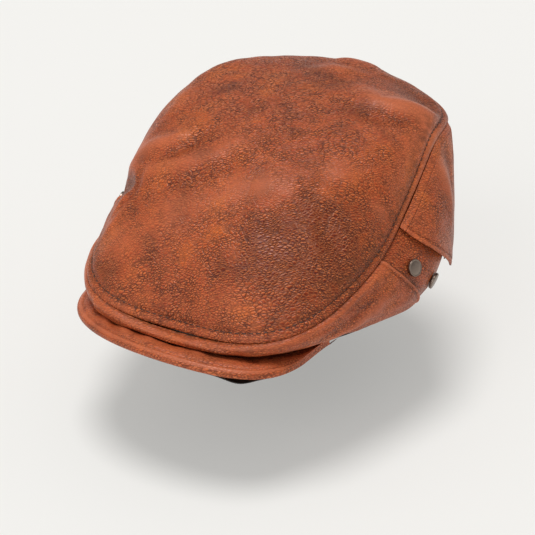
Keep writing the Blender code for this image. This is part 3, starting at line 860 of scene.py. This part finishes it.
def flapSheet(name, side, sign, start, end, rows, body, replaced=()):
    # a length of the flap's leather, from one share of its drop to another
    s = flapSettings
    across, along = np.meshgrid(np.linspace(0, 1, 120), np.linspace(start, end, rows))
    angle, rise = flapPlace(across, along)
    width = flapPlace(1.0, along)[0] - flapPlace(0.0, along)[0]
    fromFront = across * width * 1.7
    fromRear = (1 - across) * width * 1.7
    fromFree = np.minimum(fromFront, fromRear)
    groove = hump(fromFree - s["grooveMm"], 0.7) * smoothStep(0.03, 0.1, along)
    edge = hump(fromFree, 0.6) * (1 - smoothStep(0.9, 1.0, along))
    plan = np.stack([across * 60, along * 62], -1)
    calm = 1 - smoothStep(0.62, 0.85, along)
    folds = calm * strokeRelief(plan, [
        ([(34, 2), (36, 20), (34, 38)], 4.5, 1.3), ([(46, 4), (47, 18), (43, 30)], 4.5, -1.2),
        ([(16, 4), (22, 22), (28, 40)], 6, -0.6)])
    soft = 0.3 * calm * softNoise(plan, 24, 41 + sign)
    # the free edges stand off a little, the sewn one is drawn in under the crown's lip, and the
    # tip hangs straight where the side below it turns in
    stand = 1.3 * smoothStep(0.05, 0.5, along) * (1 - smoothStep(0, 14, fromFront))
    stand = stand + 1.9 * smoothStep(0.70, 1.0, along)
    lift = s["lift"] + folds + soft - 0.40 * groove - 0.45 * edge + stand - 1.2 * hump(along, 0.05)
    points = sidePoint(sign * angle, rise, lift)
    # the flap is painted 0.3 paler overall, fold ridges and the rolled free edges paler and the groove darker:
    # painted light and shade
    wearAndPaintedLight = np.clip(0.3 + folds / 1.8 + 0.35 * hump(fromFree - 1.4, 1.0) - 0.9 * groove, -1, 1)
    piece = makeSheet(name + "_" + side, points, False, leather, s["leatherMm"],
                      {"wearAndPaintedLight": wearAndPaintedLight, "stainAndPaintedShade": 0 * wearAndPaintedLight})
    finishPiece(piece, body, replaced)


def makeFlap(side, sign):
    s = flapSettings
    # the sewn root stays with the cap; below it the flap folds
    flapSheet("flapRoot", side, sign, 0, s["foldAt"] - 0.004, 12, "root")
    flapSheet("flapLeather", side, sign, s["foldAt"], 1, 116, "flap_" + side, ["side_flap_" + side])
    # the lining sits inside the leather's turned edge
    across, along = np.meshgrid(np.linspace(0.09, 0.91, 120), np.linspace(s["foldAt"] + 0.03, 0.905, 110))
    angle, rise = flapPlace(across, along)
    lining = makeSheet("flapLining_" + side, sidePoint(sign * angle, rise, -0.15), False, liningTwill, 0.7)
    finishPiece(lining, "flap_" + side, ["side_flap_lining_" + side])


for side, sign in (("left", 1), ("right", -1)):
    makeFlap(side, sign)
print("flaps made")


# Brim: leather drawn over a moulded board and turned under its edge.
brimSettings = {
    "halfWidth": 76, "rightHalfWidth": 80, "reach": 76, "rootY": 61.5, "squareness": 0.5, "rightSquareness": 0.74,
    "turnDegrees": -4.2,
    "frontHeight": 10, "sideHeight": 2.2, "rootHeight": 2.1, "rootAngle": 50,
    "topLift": 2.1, "wrapMm": 1.9, "swellMm": 4.2,
}


def brimPoint(across, out, lift):
    s = brimSettings
    turn = np.radians(-89 + 178 * across)
    squareness = np.where(turn < 0, s["rightSquareness"], s["squareness"])
    reach = s["rootY"] + s["reach"] * np.cos(turn) ** squareness
    askew = math.radians(s["turnDegrees"])
    x = np.where(turn < 0, s["rightHalfWidth"], s["halfWidth"]) * np.sin(turn)
    edge = np.stack(np.broadcast_arrays(
        x * math.cos(askew) + reach * math.sin(askew), x * math.sin(askew) - reach * math.cos(askew),
        s["frontHeight"] + (s["sideHeight"] - s["frontHeight"]) * np.sin(turn) ** 2), -1)
    angle = s["rootAngle"] * np.degrees(turn) / 90
    root = ringPoint(atAngle(shape["hemRadius"], angle) - 3, s["rootHeight"], angle)
    # both ends curve back under the cap
    edge = root + (edge - root) * (1 - 0.75 * smoothStep(0.93, 1.0, np.abs(2 * across - 1)))[..., None]
    point = root + (edge - root) * out[..., None]
    point[..., 2] = root[..., 2] + (edge[..., 2] - root[..., 2]) * out ** 1.6 + lift
    return point


def makeBrim():
    s = brimSettings
    columns = 300
    rows = np.concatenate([np.linspace(0.02, 0.93, 46), np.linspace(0.94, 0.995, 12)])
    across, along = np.meshgrid(np.linspace(0, 1, columns), rows)
    base = brimPoint(across, along, 0 * across)
    steps = np.linalg.norm(np.diff(base, axis=0), axis=-1)
    fromEdge = np.concatenate([np.cumsum(steps[::-1], axis=0)[::-1], np.zeros((1, columns))])
    plan = base[..., :2]
    folds = strokeRelief(plan, [
        ([(-62, -96), (-48, -112), (-40, -130)], 3.2, 0.6), ([(-54, -98), (-40, -116), (-32, -132)], 3.0, -0.5),
        ([(-44, -104), (-30, -120), (-22, -134)], 3.2, 0.6), ([(-36, -104), (-20, -124)], 3.0, -0.4),
        ([(-20, -112), (-8, -128)], 3.4, 0.6), ([(-4, -110), (6, -126)], 3.0, -0.4),
        ([(10, -112), (24, -126)], 4, 0.7), ([(40, -104), (52, -116)], 4, -0.5)])
    fade = smoothStep(2, 9, fromEdge)
    relief = (folds + 0.3 * softNoise(plan, 26, 9) + 0.14 * softNoise(plan, 9, 19)) * fade
    relief = relief + 0.3 * hump(fromEdge - 1.2, 1.2) - 0.25 * hump(fromEdge - 3.0, 0.7)
    swell = s["swellMm"] * np.sin(np.pi * along ** 2.4) * np.sin(np.pi * across) ** 0.7
    top = base + np.array([0, 0, 1.0]) * (s["topLift"] + swell + relief)[..., None]
    # wrap: from the rim down and back under the board
    rim = top[-1]
    outward = base[-1] - base[-2]
    outward /= np.linalg.norm(outward, axis=-1, keepdims=True)
    radius = s["wrapMm"]
    down = np.array([0, 0, -1.0])
    wrap = [rim + outward * radius * 0.55 * math.sin(turn) + down * radius * (1 - math.cos(turn))
            for turn in np.radians([22, 45, 68, 90, 112, 135, 158, 180])]
    wrap += [rim - outward * back + down * 2 * radius for back in (2.0, 5.0, 8.0)]
    points = np.concatenate([top, np.array(wrap)])
    # the brim is painted 0.5 paler overall (painted light); fold ridges and the rolled rim are paler and the
    # groove darker (painted light and shade)
    wearAndPaintedLight = np.clip(0.5 + folds * fade + 0.5 * hump(fromEdge - 1.2, 1.4) - 0.3 * hump(fromEdge - 3.0, 0.8), -1, 1)
    # where the brim lies beneath the front panel it is painted dark: painted shadow of the panel
    wearAndPaintedLight = np.concatenate([wearAndPaintedLight - 2.0 * (1 - smoothStep(0.50, 0.64, along)), np.full((len(wrap), columns), 0.25)])
    piece = makeSheet("brimLeather", points, False, leather, 0, {"wearAndPaintedLight": np.clip(wearAndPaintedLight, -1, 1), "stainAndPaintedShade": 0 * wearAndPaintedLight},
                      facing=(0, 0, 1))
    finishPiece(piece, replaced=["brim_top_cover"])
    across, along = np.meshgrid(np.linspace(0.05, 0.95, 160), np.linspace(0.02, 0.97, 40))
    sag = 3.6 * hump(across - 0.77, 0.05) * hump(along - 0.93, 0.12)
    under = brimPoint(across, along,
                      -1.15 - sag + 0.12 * softNoise(np.stack([across * 140, along * 60], -1), 30, 7))
    piece = makeSheet("brimUnderSkin", under, False, liningSkin, 0.6, facing=(0, 0, 1))
    finishPiece(piece, replaced=["brim_under_cover"])
    across, along = np.meshgrid(np.linspace(0.06, 0.94, 120), np.linspace(0.03, 0.955, 24))
    piece = makeSheet("brimBoard", brimPoint(across, along, 0.7 + 0 * across), False, board, 1.4,
                      facing=(0, 0, 1))
    finishPiece(piece, replaced=["brim_board"])


makeBrim()
print("brim made")


# Padding and linings.
liningSettings = {"padding": 1.8, "lining": 3.6, "quiltMm": 26, "interlining": 5.8}


def quilt(places, size):
    # puffed diamonds between crossing rows of stitches
    first = np.abs(np.sin(np.pi * (places[..., 0] + places[..., 1]) / size / 1.414))
    second = np.abs(np.sin(np.pi * (places[..., 0] - places[..., 1]) / size / 1.414))
    return np.minimum(first, second) ** 0.5


def crownLayer(name, depth, reach, finish, thickness, replaced, puff=0.0):
    angles = np.arange(300) * 1.2
    reaches = np.linspace(0.02, reach, 64)[:, None]
    base = crownBase(angles[None, :], reaches)
    folds = crownRelief(base[..., :2], (1 - reaches) * 105 + 0 * base[..., 0])[0]
    relief = puff * (1 - quilt(base[..., :2], liningSettings["quiltMm"])) + np.minimum(0, folds)
    points = crownPoint(angles[None, :], reaches, -depth + relief)
    piece = makeSheet(name, points, True, finish, thickness, closeEnd=True)
    finishPiece(piece, replaced=[replaced])


def makeLinings():
    crownLayer("crownPadding", liningSettings["padding"] + 0.3, 0.92, felt, 1.0, "crown_padding")
    crownLayer("crownLining", liningSettings["lining"] + 0.6, 0.90, liningTwill, 0.5,
               "crown_lining", 0.9)
    angles = np.arange(360) * 1.0
    low = hemAt(angles, 4.4, 5.0)
    top = crownPoint(angles, 0.93, -4.8)
    waist = low.copy()
    waist[:, 2] = np.minimum(34, 0.6 * top[:, 2])
    rows = [low + (waist - low) * share for share in np.linspace(0, 1, 8)]
    rows += [waist + (top - waist) * share for share in np.linspace(0.1, 1, 14)]
    rows.append(crownPoint(angles, 0.89, -4.8))
    grid = np.array(rows)
    gathers = 0.5 * np.sin(np.radians(angles) * 42)[None, :] * np.linspace(0, 1, len(rows))[:, None]
    grid[..., :2] *= (1 - gathers / 100)[..., None]
    piece = makeSheet("sideLining", grid, True, liningTwill, 0.4)
    finishPiece(piece, replaced=["side_lining"])
    across, along = np.meshgrid(np.linspace(58, 302, 200), np.linspace(0.12, 0.88, 20))
    piece = makeSheet("sideInterlining", sidePoint(across, along, -liningSettings["interlining"]), False,
                      felt, 0.8)
    finishPiece(piece, replaced=["side_interlining"])


# Sweatband: a folded band of skin, joined at the back by a length of gathered elastic.
bandSettings = {"inset": 6.2, "thick": 1.2, "height": 30, "elasticArc": 35}


def makeSweatband():
    s = bandSettings
    arcs = {"sweatbandSkin": (s["elasticArc"] - 179.6, 179.6 - s["elasticArc"], 420, liningSkin,
                              "sweatband", "sweatband"),
            "sweatbandElastic": (180 - s["elasticArc"], 180 + s["elasticArc"], 140, elasticKnit,
                                 "elastic", "sweatband_elastic")}
    for name, (start, end, columns, finish, slot, replaced) in arcs.items():
        angle, height = np.meshgrid(np.linspace(start, end, columns), np.linspace(0, 1, 26))
        ribs = 0.35 * np.sin(np.radians(angle) * 60) if slot == "elastic" else 0.12 * softNoise(
            np.stack([angle, height * 20], -1), 16, 51)
        tuck = 0.5 * hump(height - 0.07, 0.035) - 0.5 * hump(height - 1, 0.05) - 0.4 * hump(height, 0.02)
        inset = s["inset"] + 0.15 * hump(height - 0.5, 0.4) + tuck + 0.5 * ribs * np.sin(np.pi * height)
        radius = atAngle(shape["hemRadius"], angle) - inset
        points = ringPoint(radius, s["height"] * height, angle)
        piece = makeSheet(name, points, False, finish, s["thick"] - 0.2)
        finishPiece(piece, replaced=[replaced])
    angles = np.linspace(s["elasticArc"] - 178, 178 - s["elasticArc"], 300)
    for name, height in (("sweatbandStitchesLow", 2.6), ("sweatbandStitchesHigh", 27.5)):
        line = hemAt(angles, s["inset"] + s["thick"] + 0.12, height)
        inward = -ringPoint(1.0, 0.0, angles)
        makeStitches(name, line, inward, 3.6, 2.4, 0.24, darkThread, False)


def makeLabel():
    # a blank folded tab, caught under the band's stitches
    angle, height = np.meshgrid(np.linspace(128, 138, 24), np.linspace(8, 22, 28))
    curl = 0.9 * hump(height - 8, 3) + 0.25 * np.sin(np.radians(angle) * 30)
    radius = atAngle(shape["hemRadius"], angle) - bandSettings["inset"] - bandSettings["thick"] - 0.6 - curl
    piece = makeSheet("sizeLabel", ringPoint(radius, height, angle), False, paleTape, 0.35)
    finishPiece(piece, replaced=["size_label"])


makeLinings()
makeSweatband()
makeLabel()
print("inside made")


stageSettings = {
    "floorHeight": -0.070,
    "floorColour": "#cac9c6",
    "floorGlow": 0.49,
    "ambient": 0.38,
    "key": 1.74,
    "keyAngle": 24,
    "fill": 0.85,
    "fillAngle": 50,
}


def makeStage():
    s = stageSettings
    bpy.ops.object.select_all(action="DESELECT")
    bpy.ops.mesh.primitive_plane_add(size=30, location=(0, 0, s["floorHeight"]))
    floor = bpy.context.object
    floor.name = "studioFloor"
    made, tree, shader = newMaterial("glowingFloor", s["floorColour"], 0.9)
    shader.inputs["Specular IOR Level"].default_value = 0.0
    # the floor also glows: painted light that lifts the floor and lightens the cap's shadow on it
    shader.inputs["Emission Color"].default_value = toLinear(s["floorColour"])
    shader.inputs["Emission Strength"].default_value = s["floorGlow"]
    floor.data.materials.append(made)
    world = bpy.data.worlds.new("studioAir")
    bpy.context.scene.world = world
    world.use_nodes = True
    world.node_tree.nodes["Background"].inputs["Color"].default_value = (1, 1, 1, 1)
    world.node_tree.nodes["Background"].inputs["Strength"].default_value = s["ambient"]
    for name, power, angle, direction in (
            ("overheadSoftbox", s["key"], s["keyAngle"], (-0.05, -0.035, 1)),
            ("frontSoftbox", s["fill"], s["fillAngle"], (-0.05, -0.92, 0.42))):
        light = bpy.data.lights.new(name, "SUN")
        light.energy = power
        light.angle = math.radians(angle)
        lamp = bpy.data.objects.new(name, light)
        bpy.context.collection.objects.link(lamp)
        lamp.rotation_euler = Vector(direction).to_track_quat("Z", "Y").to_euler()


cameraSettings = {
    "azimuth": 30.8, "elevation": 28.4, "roll": -1.2, "distance": 1.0548,
    "lens": 115.58, "sideways": -0.0069, "upwards": 0.0004,
}


def makeCamera():
    s = cameraSettings
    turn, tilt, roll = (math.radians(s[key]) for key in ("azimuth", "elevation", "roll"))
    back = Vector((math.sin(turn) * math.cos(tilt), -math.cos(turn) * math.cos(tilt), math.sin(tilt)))
    right = Vector((math.cos(turn), math.sin(turn), 0))
    up = back.cross(right)
    view = bpy.data.cameras.new("studioCamera")
    view.lens = s["lens"]
    view.sensor_width = 36
    holder = bpy.data.objects.new("studioCamera", view)
    bpy.context.collection.objects.link(holder)
    leanRight = right * math.cos(roll) + up * math.sin(roll)
    leanUp = up * math.cos(roll) - right * math.sin(roll)
    place = back * s["distance"] + leanRight * s["sideways"] + leanUp * s["upwards"]
    rotation = Matrix((leanRight, leanUp, back)).transposed().to_4x4()
    holder.matrix_world = Matrix.Translation(place) @ rotation
    bpy.context.scene.camera = holder
    bpy.context.scene.view_settings.view_transform = "Standard"


makeStage()
makeCamera()
print("stage made")
